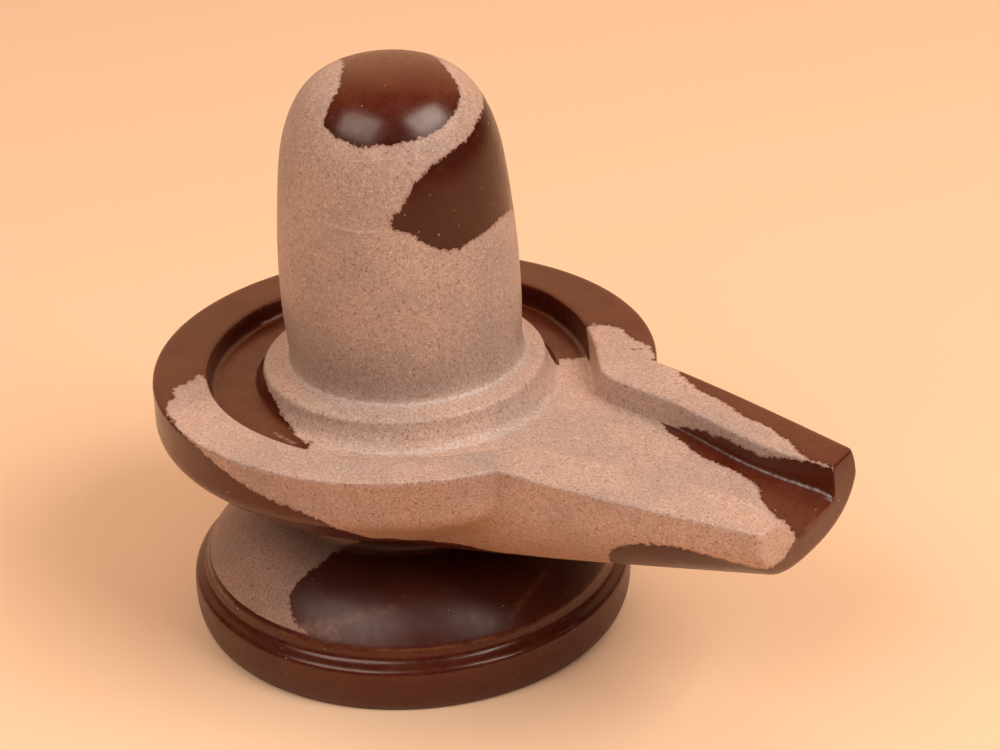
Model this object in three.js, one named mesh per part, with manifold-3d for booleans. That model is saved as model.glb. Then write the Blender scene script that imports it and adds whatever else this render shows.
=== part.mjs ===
// Shiva lingam on its yoni base, carved from one piece of river stone.
// Millimetres, +Z up, the spout points along +X. The origin is under the middle of the dish,
// in the plane that the foot stands on.
import * as THREE from "three";
import { mergeVertices } from "three/addons/utils/BufferGeometryUtils.js";
import Module from "manifold-3d";

// Lingam: a round-shouldered egg, a little waisted above its foot. It leans by about a degree,
// most of it close to the foot.
const HEIGHT = 150;
const LINGAM_SIDE = [ // radius and height at a few places, from the foot up to the pole
  [30.1, 75.5], [30.6, 88], [30.4, 100], [29.3, 114], [27.7, 127], [25, 136.6], [20.5, 144], [12.8, 148.75],
  [0, HEIGHT],
];
const LINGAM_FOOT_RADIUS = 30.8;
const LINGAM_FOOT = 72.07;
const LEAN_AT_FOOT = [0.6, 0.82];
const LEAN_AT_TOP = [-0.6, -0.03];
const LEAN_POWER = 0.35;

// Collar round the lingam's foot, and the channel that carries water round it to the spout.
const COLLAR_EDGE_RADIUS = 36.4;
const COLLAR_FOOT_RADIUS = 39.6;
const CHANNEL_FLOOR = 64.4;
const CHANNEL_FALL = 0.02; // drop of the floor per millimetre towards the spout
const CHANNEL_RADIUS = 50; // at the floor
const MOUTH_RADIUS = 51; // at the top
// How far out of round the channel's wall is, by degrees from the spout, on the spout's two sides.
const BACK_MOUTH = [[25, 0.4], [34, -1.2], [48, -1.8], [60, -1.4], [80, 0], [180, 0.2]];
const FRONT_MOUTH = [[25, 4.6], [42, 2.4], [60, 1.6], [75, 1], [90, 0.4], [180, 0.2]];

// Dish: a flat rim, a plain outer wall and a bowl-shaped underside that runs in to a short neck.
const RIM_TOP = 70.1;
const DISH_RADIUS = 65.4;
const ARRIS = 1.1; // rounding of the worked edges
const WALL_FOOT = [65.1, 57.2]; // rounded corner between the wall and the bowl
const NECK_RADIUS = 32.6;
const NECK_TOP = 34.3;
const NECK_FOOT = 30.5;

// Foot: a bell-shaped dome over a stepped ledge and an upright band.
const BELL_RADIUS = 54.85;
const BELL_EDGE = 16.53;
const LIP_RADIUS = 55.2;
const LIP = 14.6;
const BAND_RADIUS = 58.9; // at its fullest, a little below its top edge
const BAND_TOP_RADIUS = 58.3;
const BAND_TOP = 12.6;
const STANDING_RADIUS = 57.3;
const FOOT_SHIFT = [-0.4, -1.2]; // how far the foot is out of true with the dish

// Spout: a boat-shaped arm with an open groove down its middle.
const SPOUT_ROOT = 24; // where the arm starts, inside the dish
const SPOUT_TIP = 121.4; // the end face's lower part
const TIP_SKEW = 0.03; // the end face runs a little out of square
const TIP_LEAN = 1.35; // how far the end face falls back at its top edge
const TIP_TWIST = 0.024; // more of that at the back than at the front, per millimetre across
const SPOUT_SWELL = 0.8; // how far the sides stand out below the top edges
const SPOUT_FLARE = 0.3; // widening under the dish, per millimetre towards the neck
const SPOUT_TOP_FALL = 0.8; // drop of the rails from the dish to the tip
const SPOUT_WIDTHS = [[54.9, 33.6], [74, 32.3], [121, 22.5]]; // control points: distance, half width
const KEEL_AT_DISH = [52, 36.3];
const KEEL_AT_TIP = [121, 52.2];
const KEEL_ROOT = [29, 0.6]; // from here in, the keel rises into the neck by this much per millimetre
const GROOVE_START = 46;
const GROOVE_BACK = [ // distance along the spout and half width of the groove on its back side
  [46, 21.7], [51, 19.6], [58, 18.7], [73, 17.3], [84, 15], [95, 12.7], [105, 11.8], [126, 13],
];
const GROOVE_FRONT = [
  [46, 25], [50.4, 23.5], [55, 19.8], [60, 18.3], [80, 14.7], [98, 11.9], [113, 10.7], [126, 13.6],
];
const GROOVE_FLOORS = [[46, 63.5], [90, 63], [110, 62], [126, 60]];
// Towards the tip the floor tilts, and the front wall slants in at its foot and droops at its top.
const GROOVE_TILT = 0.07;
const GROOVE_SLANT = 3.4;
const GROOVE_DROOP = 2;

const TURNS = 70; // sides of the turned form

const wasm = await Module();
wasm.setup();

const mix = (a, b, t) => a + (b - a) * t;
const powered = (v, p) => Math.sign(v) * Math.abs(v) ** p;

// Height or width read off a chain of straight pieces.
function along(chain, x) {
  let i = 1;
  while (i < chain.length - 1 && x > chain[i][0]) i++;
  const [[x0, y0], [x1, y1]] = [chain[i - 1], chain[i]];
  return mix(y0, y1, THREE.MathUtils.clamp((x - x0) / (x1 - x0), 0, 1));
}

// A quarter-turn rounding between two ends whose tangents meet at the corner.
function rounding(from, corner, to, steps) {
  const curve = new THREE.QuadraticBezierCurve(
    new THREE.Vector2(...from), new THREE.Vector2(...corner), new THREE.Vector2(...to));
  return curve.getPoints(steps);
}

// The foot, from the middle of its underside out to the band and up the bell to the neck.
function footProfile() {
  const bell = new THREE.CubicBezierCurve(
    new THREE.Vector2(BELL_RADIUS, BELL_EDGE), new THREE.Vector2(50.3, 24.3),
    new THREE.Vector2(42.3, 29.6), new THREE.Vector2(NECK_RADIUS, NECK_FOOT));
  return [
    new THREE.Vector2(0, 0),
    new THREE.Vector2(STANDING_RADIUS - 0.6, 0),
    ...rounding([STANDING_RADIUS, 0.5], [BAND_RADIUS, 2.5], [BAND_RADIUS, 7], 2),
    ...rounding([BAND_TOP_RADIUS + 0.3, BAND_TOP - 1], [BAND_TOP_RADIUS + 0.2, BAND_TOP],
      [BAND_TOP_RADIUS - 0.5, BAND_TOP + 0.1], 2),
    ...rounding([BAND_RADIUS - 2.3, BAND_TOP + 0.2], [LIP_RADIUS, BAND_TOP + 0.5], [LIP_RADIUS, LIP], 2),
    ...bell.getPoints(7),
  ];
}

// The dish, from the neck out under the bowl, up the wall and across the rim into the channel.
function dishProfile() {
  return [
    ...rounding([NECK_RADIUS, NECK_TOP - 0.8], [NECK_RADIUS + 0.4, NECK_TOP + 0.2], [36.8, 36.6], 2),
    new THREE.Vector2(44.5, 41.2),
    new THREE.Vector2(52.6, 46.5),
    new THREE.Vector2(60.7, 53.2),
    ...rounding([63.4, 55.6], WALL_FOOT, [DISH_RADIUS, 59.4], 2),
    new THREE.Vector2(DISH_RADIUS, 63.5),
    ...rounding([65.1, RIM_TOP - ARRIS - 0.2], [65, RIM_TOP], [65 - ARRIS, RIM_TOP], 2),
    ...rounding([MOUTH_RADIUS + ARRIS, RIM_TOP], [MOUTH_RADIUS, RIM_TOP],
      [MOUTH_RADIUS - 0.1, RIM_TOP - ARRIS], 2),
    ...rounding([CHANNEL_RADIUS + 0.3, CHANNEL_FLOOR + 1], [CHANNEL_RADIUS, CHANNEL_FLOOR],
      [CHANNEL_RADIUS - 1, CHANNEL_FLOOR], 2),
  ];
}

// The collar and the lingam, from the channel floor up to the pole.
function lingamProfile() {
  const points = [
    ...rounding([COLLAR_FOOT_RADIUS + 0.6, CHANNEL_FLOOR], [COLLAR_FOOT_RADIUS - 0.9, CHANNEL_FLOOR],
      [38, 66.2], 2),
    ...rounding([37, 68.2], [COLLAR_EDGE_RADIUS - 0.1, 70.7], [34.5, 71.3], 3),
    new THREE.Vector2(LINGAM_FOOT_RADIUS, LINGAM_FOOT),
  ];
  const side = new THREE.SplineCurve(LINGAM_SIDE.map(([r, z]) => new THREE.Vector2(r, z)));
  return [...points, ...side.getPoints(16)];
}

// How far the channel's wall is moved out at a place seen from above.
function outOfRound(x, y) {
  const degrees = THREE.MathUtils.radToDeg(Math.atan2(Math.abs(y), x));
  return along(y > 0 ? BACK_MOUTH : FRONT_MOUTH, degrees);
}

// Moves each point of the turned form: the lingam leans, the channel's wall is a little out of
// round, its floor falls and the foot sits a little to one side.
function settle(geometry) {
  const p = geometry.attributes.position;
  for (let i = 0; i < p.count; i++) {
    const [x, y, z] = [p.getX(i), p.getY(i), p.getZ(i)];
    const radius = Math.hypot(x, y);
    const inChannel = radius < CHANNEL_RADIUS + 0.5 && radius > COLLAR_EDGE_RADIUS && z < 67 && z > 60;
    if (inChannel) p.setZ(i, z - CHANNEL_FALL * x);
    if (radius > CHANNEL_RADIUS - 1.5 && radius < MOUTH_RADIUS + ARRIS + 0.5 && z > 60) {
      const out = 1 + outOfRound(x, y) / radius;
      p.setXY(i, x * out, y * out);
    } else if (radius < LINGAM_FOOT_RADIUS + 0.5 && z > 71) {
      const t = Math.max(0, (z - LINGAM_FOOT) / (HEIGHT - LINGAM_FOOT)) ** LEAN_POWER;
      p.setX(i, x + mix(LEAN_AT_FOOT[0], LEAN_AT_TOP[0], t));
      p.setY(i, y + mix(LEAN_AT_FOOT[1], LEAN_AT_TOP[1], t));
    } else if (z < NECK_FOOT) {
      const share = Math.min(1, (NECK_FOOT - z) / (NECK_FOOT - BELL_EDGE));
      p.setX(i, x + FOOT_SHIFT[0] * share);
      p.setY(i, y + FOOT_SHIFT[1] * share);
    }
  }
}

// Everything that is turned: foot, dish, collar and lingam.
function turnedForm() {
  const profile = [...footProfile(), ...dishProfile(), ...lingamProfile()];
  const geometry = new THREE.LatheGeometry(profile, TURNS).rotateX(Math.PI / 2);
  geometry.deleteAttribute("normal");
  geometry.deleteAttribute("uv");
  const merged = mergeVertices(geometry, 1e-4);
  settle(merged);
  return solid(merged);
}

// A skin over rings of equally many points, closed by a fan at each end.
function loft(rings) {
  const count = rings[0].length;
  const last = (rings.length - 1) * count;
  const positions = rings.flat(2);
  const index = [];
  for (let k = 0; k + 1 < rings.length; k++) {
    for (let i = 0; i < count; i++) {
      const [a, b] = [k * count + i, k * count + ((i + 1) % count)];
      index.push(a, b, b + count, a, b + count, a + count);
    }
  }
  for (let i = 1; i + 1 < count; i++) index.push(0, i + 1, i, last, last + i, last + i + 1);
  const geometry = new THREE.BufferGeometry();
  geometry.setAttribute("position", new THREE.Float32BufferAttribute(positions, 3));
  geometry.setIndex(index);
  return mergeVertices(geometry, 1e-4);
}

const solid = (geometry) => new wasm.Manifold(new wasm.Mesh({
  numProp: 3,
  vertProperties: geometry.attributes.position.array,
  triVerts: new Uint32Array(geometry.index.array),
}));

const spoutTop = (x) => RIM_TOP - SPOUT_TOP_FALL * THREE.MathUtils.clamp((x - 60) / 60, 0, 1);

// Half the width of the spout's top face; inside the dish it goes on widening.
function spoutHalfWidth(x) {
  const [a, b, c] = SPOUT_WIDTHS;
  if (x <= a[0]) return a[1] + SPOUT_FLARE * (a[0] - Math.max(x, KEEL_ROOT[0]));
  let t = (x - a[0]) / (c[0] - a[0]);
  for (let i = 0; i < 4; i++) {
    const at = (1 - t) ** 2 * a[0] + 2 * t * (1 - t) * b[0] + t * t * c[0];
    t += (x - at) / (c[0] - a[0]);
  }
  return (1 - t) ** 2 * a[1] + 2 * t * (1 - t) * b[1] + t * t * c[1];
}

// Lowest line of the spout's underside; it flattens where it runs in to the neck.
function keel(x) {
  const slope = (KEEL_AT_TIP[1] - KEEL_AT_DISH[1]) / (KEEL_AT_TIP[0] - KEEL_AT_DISH[0]);
  const rise = KEEL_ROOT[1] * Math.max(0, KEEL_ROOT[0] - x);
  return KEEL_AT_DISH[1] + (x - KEEL_AT_DISH[0]) * (x < KEEL_AT_DISH[0] ? 0.12 : slope) + rise;
}

// One cross-section: a flat top with rounded edges over a boat-shaped belly. "drawn" shrinks it.
function spoutRing(x, drawn) {
  const half = spoutHalfWidth(x) - drawn;
  const top = spoutTop(x) - drawn;
  const depth = top - keel(x) - drawn;
  const power = mix(3, 2.5, (x - 52) / 69);
  const across = [];
  const belly = 20;
  for (let i = 0; i <= belly; i++) {
    const turn = mix(0.2, Math.PI - 0.2, i / belly);
    const y = (half + SPOUT_SWELL) * powered(Math.cos(turn), 2 / power);
    across.push([y, top - depth * Math.sin(turn) ** (2 / power)]);
  }
  across.push([-half - 0.2, top - ARRIS], [-half + 0.2, top - 0.25], [-half + ARRIS, top]);
  across.push([half - ARRIS, top], [half - 0.2, top - 0.25], [half + 0.2, top - ARRIS]);
  return across.reverse().map(([y, z]) => {
    const end = Math.max(0, (x - 100) / (SPOUT_TIP - 100));
    const high = 1 - (top - z) / depth; // 1 at the top, 0 at the keel
    return [x - end * ((TIP_LEAN + TIP_TWIST * y) * high ** 3 + TIP_SKEW * y), y, z];
  });
}

// A plug as wide as the channel's mouth.
function mouthPlug() {
  const plug = new THREE.CylinderGeometry(MOUTH_RADIUS + 1, MOUTH_RADIUS + 1, 20, TURNS);
  plug.rotateX(Math.PI / 2).translate(0, 0, RIM_TOP + 0.4);
  plug.deleteAttribute("normal");
  plug.deleteAttribute("uv");
  const merged = mergeVertices(plug, 1e-4);
  const p = merged.attributes.position;
  for (let i = 0; i < p.count; i++) {
    const [x, y] = [p.getX(i), p.getY(i)];
    const out = 1 + outOfRound(x, y) / Math.max(1, Math.hypot(x, y));
    p.setXY(i, x * out, y * out);
  }
  return solid(merged);
}

// The arm as a whole, without the part of it that would stand in the channel.
function spout() {
  const rings = [];
  const places = [SPOUT_ROOT, KEEL_ROOT[0], 40, 52, 58, 65, 72, 79, 86, 93, 100, 106, 112, 117];
  places.push(SPOUT_TIP - 1.2);
  for (const x of places) rings.push(spoutRing(x, 0));
  rings.push(spoutRing(SPOUT_TIP - 0.3, 0.3), spoutRing(SPOUT_TIP, 1.1));
  return solid(loft(rings)).subtract(mouthPlug());
}

// One side of the groove's cross-section, from above the rail down to the floor, as distances
// from the middle line. "slant" moves the wall's foot in and "droop" lowers the rail's edge.
function grooveSide(x, half, floor, slant, droop) {
  const top = spoutTop(x);
  return [
    [half + ARRIS + 4.5 * droop, top + 3], [half + ARRIS + 4.5 * droop, top + 0.1],
    [half + 0.35, top - 0.3 - droop], [half, top - ARRIS - droop],
    [half - 0.5 - slant, floor + 1.6], [half - 1.1 - slant, floor + 0.5], [half - 2.3 - slant, floor],
  ];
}

// The space of the groove, from the channel to beyond the tip, with steep sides and a flat floor.
function groove() {
  const rings = [];
  for (const x of [GROOVE_START, 50.4, 55, 60, 67, 74, 80, 88, 95, 102, 108, 113, 118, 122, 126]) {
    const nearTip = THREE.MathUtils.clamp((x - 104) / 17, 0, 1) ** 1.5;
    const floor = along(GROOVE_FLOORS, x);
    const back = grooveSide(x, along(GROOVE_BACK, x), floor, 0, 0);
    const [slant, droop] = [GROOVE_SLANT * nearTip, GROOVE_DROOP * nearTip];
    const front = grooveSide(x, along(GROOVE_FRONT, x), floor, slant, droop);
    const ring = [...back, ...front.map(([y, z]) => [-y, z]).reverse()];
    const tilt = GROOVE_TILT * THREE.MathUtils.clamp((x - 95) / 26, 0, 1);
    rings.push(ring.map(([y, z]) => [x, y, z < floor + 2 ? z + tilt * y : z]).reverse());
  }
  return solid(loft(rings));
}

// A finished solid as a named mesh.
function asMesh(shape, name, material) {
  const mesh = shape.getMesh();
  const geometry = new THREE.BufferGeometry();
  geometry.setAttribute("position", new THREE.BufferAttribute(mesh.vertProperties, 3));
  geometry.setIndex(new THREE.BufferAttribute(mesh.triVerts, 1));
  geometry.computeVertexNormals();
  const made = new THREE.Mesh(geometry, material);
  made.name = name;
  return made;
}

const stone = new THREE.MeshStandardMaterial({ color: 0xa67b65, roughness: 0.35, metalness: 0 });
const object = new THREE.Group();
object.add(asMesh(turnedForm().add(spout()).subtract(groove()), "shiva_lingam", stone));
export default object;
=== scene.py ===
import bpy
import numpy as np
from mathutils import Matrix, Vector


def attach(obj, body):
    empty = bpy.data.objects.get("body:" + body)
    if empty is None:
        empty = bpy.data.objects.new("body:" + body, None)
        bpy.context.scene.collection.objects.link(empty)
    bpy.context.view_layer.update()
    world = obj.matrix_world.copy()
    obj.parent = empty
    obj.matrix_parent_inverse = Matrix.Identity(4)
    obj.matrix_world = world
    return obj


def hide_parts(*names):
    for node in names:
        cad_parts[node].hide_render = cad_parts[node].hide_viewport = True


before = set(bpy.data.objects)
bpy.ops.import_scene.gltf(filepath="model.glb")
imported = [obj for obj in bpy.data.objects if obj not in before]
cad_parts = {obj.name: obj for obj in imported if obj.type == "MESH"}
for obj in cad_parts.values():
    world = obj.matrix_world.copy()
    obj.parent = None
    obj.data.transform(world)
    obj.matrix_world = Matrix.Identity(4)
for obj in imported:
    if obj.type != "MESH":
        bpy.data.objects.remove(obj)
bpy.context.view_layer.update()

# The standpoint: a camera a little above the stone, off the side of its spout.
# An 80 mm lens on a 36 mm wide sensor takes in the whole stone with some floor round it.
camera_data = bpy.data.cameras.new("camera")
camera_data.lens = 79.9
camera_data.sensor_width = 36
camera_data.clip_start = 0.02
camera = bpy.data.objects.new("camera", camera_data)
bpy.context.scene.collection.objects.link(camera)
standpoint = Vector((0.337708, -0.385355, 0.332021))
right = Vector((0.79372, 0.60722, -0.03597))
up = Vector((-0.25732, 0.38876, 0.88468))
ahead = Vector((-0.55118, 0.69293, -0.46482))
camera.matrix_world = Matrix(((right.x, up.x, -ahead.x, standpoint.x),
                              (right.y, up.y, -ahead.y, standpoint.y),
                              (right.z, up.z, -ahead.z, standpoint.z), (0, 0, 0, 1)))
bpy.context.scene.camera = camera
bpy.context.scene.view_settings.view_transform = "Standard"

# The stone: one block of banded river stone, turned, carved and polished by hand. From the top
# down it is the lingam, the collar round its foot, the channel and groove, the rim and rails,
# the bowl with the boat-shaped arm, the neck, and the bell-shaped foot on its band.
MM = 0.001

# Lingam and collar, from the pole down: distance from the axis, height, and for the collar how
# softly each place is rounded.
LINGAM = [(0, 150), (7.5, 149.72), (12.8, 148.75), (17.2, 146.75), (20.5, 144.0), (23.0, 140.6),
          (25.0, 136.6), (26.6, 132), (27.7, 127), (28.55, 121), (29.3, 114), (29.95, 107),
          (30.38, 100), (30.6, 93), (30.6, 86), (30.35, 80), (30.1, 76), (30.25, 73.6)]
COLLAR = [(30.25, 73.6, 0.7), (30.75, 72.07, 0.5), (34.6, 71.25, 1.0), (36.35, 70.75, 0.9),
          (37.1, 67.9, 0.8), (38.1, 65.9, 0.9), (39.4, 64.4, 1.3), (40.6, 64.4, 1.2)]
TOP, LINGAM_FOOT, COLLAR_STEP = 150, 72.07, 71.4
LEAN_LOW, LEAN_HIGH = (0.6, 0.82), (-0.6, -0.03)  # how far the lingam stands off at its foot and top

# The mouth of the channel and groove seen from above, on each side: its distance from the axis at
# each turn in degrees, then its half width at each distance along the arm.
RIM = 70.1
RAIL_FALL, FALL_FROM, FALL_LENGTH = 0.8, 60, 60  # the rails' tops sink this far along the arm
BACK_RING = ([25, 29, 34, 41, 48, 60, 72, 80, 100, 180],
             [51.4, 50.4, 49.7, 49.3, 49.2, 49.6, 50.3, 51.1, 51.3, 51.3])
FRONT_RING = ([25, 29, 35, 42, 50, 60, 75, 90, 130, 180],
              [55.6, 55.0, 54.2, 53.4, 52.8, 52.6, 52.0, 51.5, 51.3, 51.3])
BACK_RAIL = ([46.6, 48.4, 51.3, 57.9, 64, 73.6, 84.2, 95.1, 104.7, 112, 119, 123],
             [21.7, 20.5, 19.5, 18.7, 18.2, 17.3, 15.0, 12.7, 11.8, 12.1, 12.6, 12.9])
FRONT_RAIL = ([50.4, 52.7, 55.5, 59.8, 70.6, 79.6, 86, 97.6, 105.6, 113, 117, 123],
              [23.5, 21.2, 19.6, 18.3, 16.5, 14.8, 13.7, 11.9, 10.9, 10.7, 11.4, 13.2])
CHANNEL_FLOOR, FLOOR_SLOPE = 64.4, 0.02
GROOVE_FROM = 46
GROOVE_DEEP = ([30, 46, 90, 110, 126], [63.8, 63.5, 63.0, 62.0, 60.4])
FLOOR_TILT, TILT_FROM = 0.07, 95
GROOVE_MEETS_COLLAR = (36.8, 17.0)  # how far along the groove's floor starts, and its half width there
WALL_SET_IN, CHANNEL_SET_IN = 0.9, 1.0  # how far a wall's foot stands inside its top edge
TIP_SET_IN, SET_IN_FROM = {"back": 0.1, "front": 4.6}, 104  # and how much more towards the tip
DISH_OUT = 65.1
WIDEST = (65.4, 57.9)          # the dish's widest line: its distance from the axis and its height
CORNER_IN = np.radians(25)     # where the channel's wall has turned out along the groove
CORNER_OUT = np.radians(30.9)  # where the dish's wall turns out along the arm

# The arm: along and half width of its top at the dish, of the point that draws its curve, and at
# the tip; the swell of its sides, its keel, and the power of its cross-section at the dish and tip;
# then the end face, and how far along it the groove's edge and the arm's top corners reach.
ARM_TOP = ((54.9, 33.6), (74, 32.3), (121, 22.5))
ARM_SWELL, WIDEST_SHARE = 0.8, 0.985
TIP, END = 121.35, 121.0
KEEL_FROM, KEEL_LOW, KEEL_RISE = 52, 36.3, 15.9
BELLY_POWER = (3.0, 2.5)
BOWL_BLEND = 3.0
FACE_TOP, FACE_HEIGHT, FACE_LEAN = 69.3, 17.1, 1.35
FACE_TWIST, FACE_ASKEW = 0.024, 0.03
DROOP_FROM, DROOP_WIDTH, DROOP = 106, 10.5, 0.2
END_EDGE = 119.5
END_CORNER = {"front": 120.2, "back": 118.6}
END_UNDER = 66.5

# Bowl, neck and foot: distance from the axis, height and softness.
BOWL = ([30, 32.6, 36.8, 44.5, 52.6, 60.7, 65.4, 68], [33.2, 34.3, 36.6, 41.2, 46.6, 53.3, 57.9, 61])
NECK = 32.6
BELL = ((32.6, 30.5), (42.3, 29.6), (50.3, 24.3), (54.85, 16.53))
FOOT = [(55.2, 16.2, 0.7), (55.25, 14.2, 1.3), (56.1, 12.9, 1.7), (58.2, 12.6, 1.4), (58.75, 11.2, 1.4),
        (58.9, 7.0, 2.0), (58.6, 3.2, 2.0), (57.4, 0.0, 0.7)]
FOOT_SHIFT = (-0.4, -1.2)


def smooth_through(x, places, values):
    """A cubic curve through the places, whose slope at each is the mean of the slopes on its two sides."""
    places, values = np.array(places, float), np.array(values, float)
    rise = np.diff(values) / np.diff(places)
    slope = np.r_[rise[0], (rise[1:] + rise[:-1]) / 2, rise[-1]]
    k = np.clip(np.searchsorted(places, x, side="right") - 1, 0, len(places) - 2)
    width = places[k + 1] - places[k]
    t = np.clip((x - places[k]) / width, 0, 1)
    return ((1 + 2 * t) * (1 - t) ** 2 * values[k] + t * (1 - t) ** 2 * width * slope[k]
            + t * t * (3 - 2 * t) * values[k + 1] - t * t * (1 - t) * width * slope[k + 1])


def rail_top(x):
    """Height of the rim and rails: level, then falling in a straight line along the arm."""
    return RIM - RAIL_FALL * np.clip((x - FALL_FROM) / FALL_LENGTH, 0, 1)


def floor_height(x, y):
    """Height of the channel's and the groove's floor: a slight slope, then the groove's curve, and near
    the tip a tilt to the front that grows in a straight line."""
    along = np.where(x < GROOVE_FROM, CHANNEL_FLOOR - FLOOR_SLOPE * x, smooth_through(x, *GROOVE_DEEP))
    return along + FLOOR_TILT * y * np.clip((x - TILT_FROM) / (END - TILT_FROM), 0, 1)


def mouth_ring(turn, side):
    """Distance of the channel's inner edge from the axis at a turn, on the back or front side."""
    degrees = np.degrees(np.abs(turn))
    return np.where(side > 0, smooth_through(degrees, *BACK_RING), smooth_through(degrees, *FRONT_RING))


def rail_edge(x, side):
    """Half width of the groove between the top edges of its rails."""
    return np.where(side > 0, smooth_through(x, *BACK_RAIL), smooth_through(x, *FRONT_RAIL))


def groove_foot(x, side):
    """Half width of the groove's floor: a little inside the top edge, and further inside by the power
    1.5 of the way to the tip. Between the collar and the rails it opens in a straight line."""
    further = np.where(side > 0, TIP_SET_IN["back"], TIP_SET_IN["front"])
    inside = WALL_SET_IN + further * np.clip((x - SET_IN_FROM) / (END - SET_IN_FROM), 0, 1) ** 1.5
    along, half = GROOVE_MEETS_COLLAR
    start = np.where(side > 0, BACK_RAIL[0][0], FRONT_RAIL[0][0])
    reach = np.clip((x - along) / (start - along), -0.7, 1)
    opening = half + (rail_edge(start, side) - inside - half) * reach
    return np.where(x < start, opening, rail_edge(x, side) - inside)


def arm_half(x):
    """Half the width of the arm's top: a quadratic Bezier curve through ARM_TOP. Its place t at each x
    is found by six steps of t + (x - x(t)) / length."""
    (x0, half0), (x1, half1), (x2, half2) = ARM_TOP
    length = x2 - x0
    t = np.clip((x - x0) / length, 0, 1.1)
    for _ in range(6):
        t = t + (x - ((1 - t) ** 2 * x0 + 2 * t * (1 - t) * x1 + t * t * x2)) / length
        t = np.clip(t, 0, 1.1)
    return (1 - t) ** 2 * half0 + 2 * t * (1 - t) * half1 + t * t * half2


def arm_belly(x, y):
    """Height of the arm's underside: each cross-section is the lower half of a superellipse between
    the top edges and the keel. Under the dish it widens by 0.3 and lifts by 0.6 mm for each mm inwards."""
    along = x - KEEL_FROM
    length = END - KEEL_FROM
    half = arm_half(x) + ARM_SWELL + 0.3 * np.clip(55 - x, 0, 27)
    keel = KEEL_LOW + along * np.where(along < 0, 0.12, KEEL_RISE / length)
    power = BELLY_POWER[0] + (BELLY_POWER[1] - BELLY_POWER[0]) * along / length
    inside = np.clip(1 - np.abs(y / half) ** power, 0, 1)
    under_dish = 0.6 * np.clip(29 - x, 0, 100)
    return rail_top(x) - (rail_top(x) - keel) * inside ** (1 / power) + under_dish


def underside(x, y):
    """Height of the stone's underside: the lower of the bowl and the arm's belly, softened where they
    are less than half the blend apart by the parabola blend / 2 * t (1 - t)."""
    bowl, belly = smooth_through(np.hypot(x, y), *BOWL), arm_belly(x, y)
    t = np.clip(0.5 + (belly - bowl) / BOWL_BLEND, 0, 1)
    return belly + (bowl - belly) * t - BOWL_BLEND / 2 * t * (1 - t)


def tip_face(y, z):
    """How far out the end face stands: upright at the keel, falling back as a cube towards the top, and
    a little twisted and askew."""
    high = np.clip(1 - (FACE_TOP - z) / FACE_HEIGHT, 0, 1)
    return TIP - (FACE_LEAN + FACE_TWIST * y) * high ** 3 - FACE_ASKEW * y


def rail_droop(x, y):
    """How far the front rail's top sinks: in a straight line inwards from its outer edge, times the
    power 1.5 of the way to the tip."""
    inwards = np.clip(ARM_TOP[-1][1] + y, 0, DROOP_WIDTH) * (y < 0)
    return DROOP * inwards * np.clip((x - DROOP_FROM) / (END - DROOP_FROM), 0, 1) ** 1.5


def chain(points, count):
    """Evenly spaced places along straight lines through points, each with its softness."""
    points = np.array(points, float)
    run = np.r_[0, np.cumsum(np.hypot(*np.diff(points[:, :2], axis=0).T))]
    at = np.linspace(0, run[-1], count)
    return np.stack([np.interp(at, run, points[:, k]) for k in range(3)], 1)


def lingam_outline(count):
    """A smooth curve from the pole down through the lingam's places: distance and height against length."""
    places = np.array(LINGAM, float)
    length = np.r_[0, np.cumsum(np.hypot(*np.diff(places, axis=0).T))]
    at = np.linspace(0, length[-1], count)
    # the curve goes on level across the pole
    length = np.r_[-length[1], length]
    places = np.r_[[(-places[1, 0], places[1, 1])], places]
    return np.stack([smooth_through(at, length, places[:, 0]), smooth_through(at, length, places[:, 1]),
                     np.full(count, 1.2)], 1)


def bell_outline(count):
    """The bell from the neck down: a cubic Bezier curve, with its softness."""
    t = np.linspace(0, 1, count)[:, None]
    a, b, c, d = (np.array(p) for p in BELL)
    bell = (1 - t) ** 3 * a + 3 * t * (1 - t) ** 2 * b + 3 * t * t * (1 - t) * c + t ** 3 * d
    return np.c_[bell, np.interp(t[:, 0], [0, 0.1, 1], [1.2, 2.0, 0.7])]


# Columns run round the stone from the middle of the tip (0) past the groove's floor corner (1),
# the end of the rail (2), its outer corner (3) and the meeting of dish and arm (4) to the back (5).
def columns():
    """The number of each column round the stone, 0 to 5 and back again, closer together at the corners,
    and its side: 1 at the back, -1 at the front."""
    parts = []
    for start, count, gather in ((0, 12, 0.6), (1, 12, 0.7), (2, 20, 0.7), (3, 52, 0.8)):
        w = np.arange(count) / count
        parts.append(start + w - gather * np.sin(2 * np.pi * w) / (2 * np.pi))
    w = np.arange(96) / 96
    parts.append(4 + 0.3 * w + 0.7 * w * w)
    one = np.concatenate(parts)
    station = np.concatenate([one, [5.0], one[1:][::-1]])
    side = np.concatenate([np.ones(len(one)), [1.0], -np.ones(len(one) - 1)])
    return station, side


def share(number, start, stop):
    """How far a column number lies from start to stop, 0 to 1."""
    return np.clip((number - start) / (stop - start), 0, 1)


station, side = columns()

# How far along the arm columns 2 and 3 cross the wall's foot, and column 3 its upper edge; and the
# turns of columns 0 to 3 on the collar and at the neck.
FOOT_AT_2, FOOT_AT_3, EDGE_AT_3 = 116.5, 111.0, 113.5
COLLAR_TURNS, NECK_TURNS = [0, 0.20, 0.24, 0.28], [0, 0.17, 0.22, 0.30]


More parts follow.
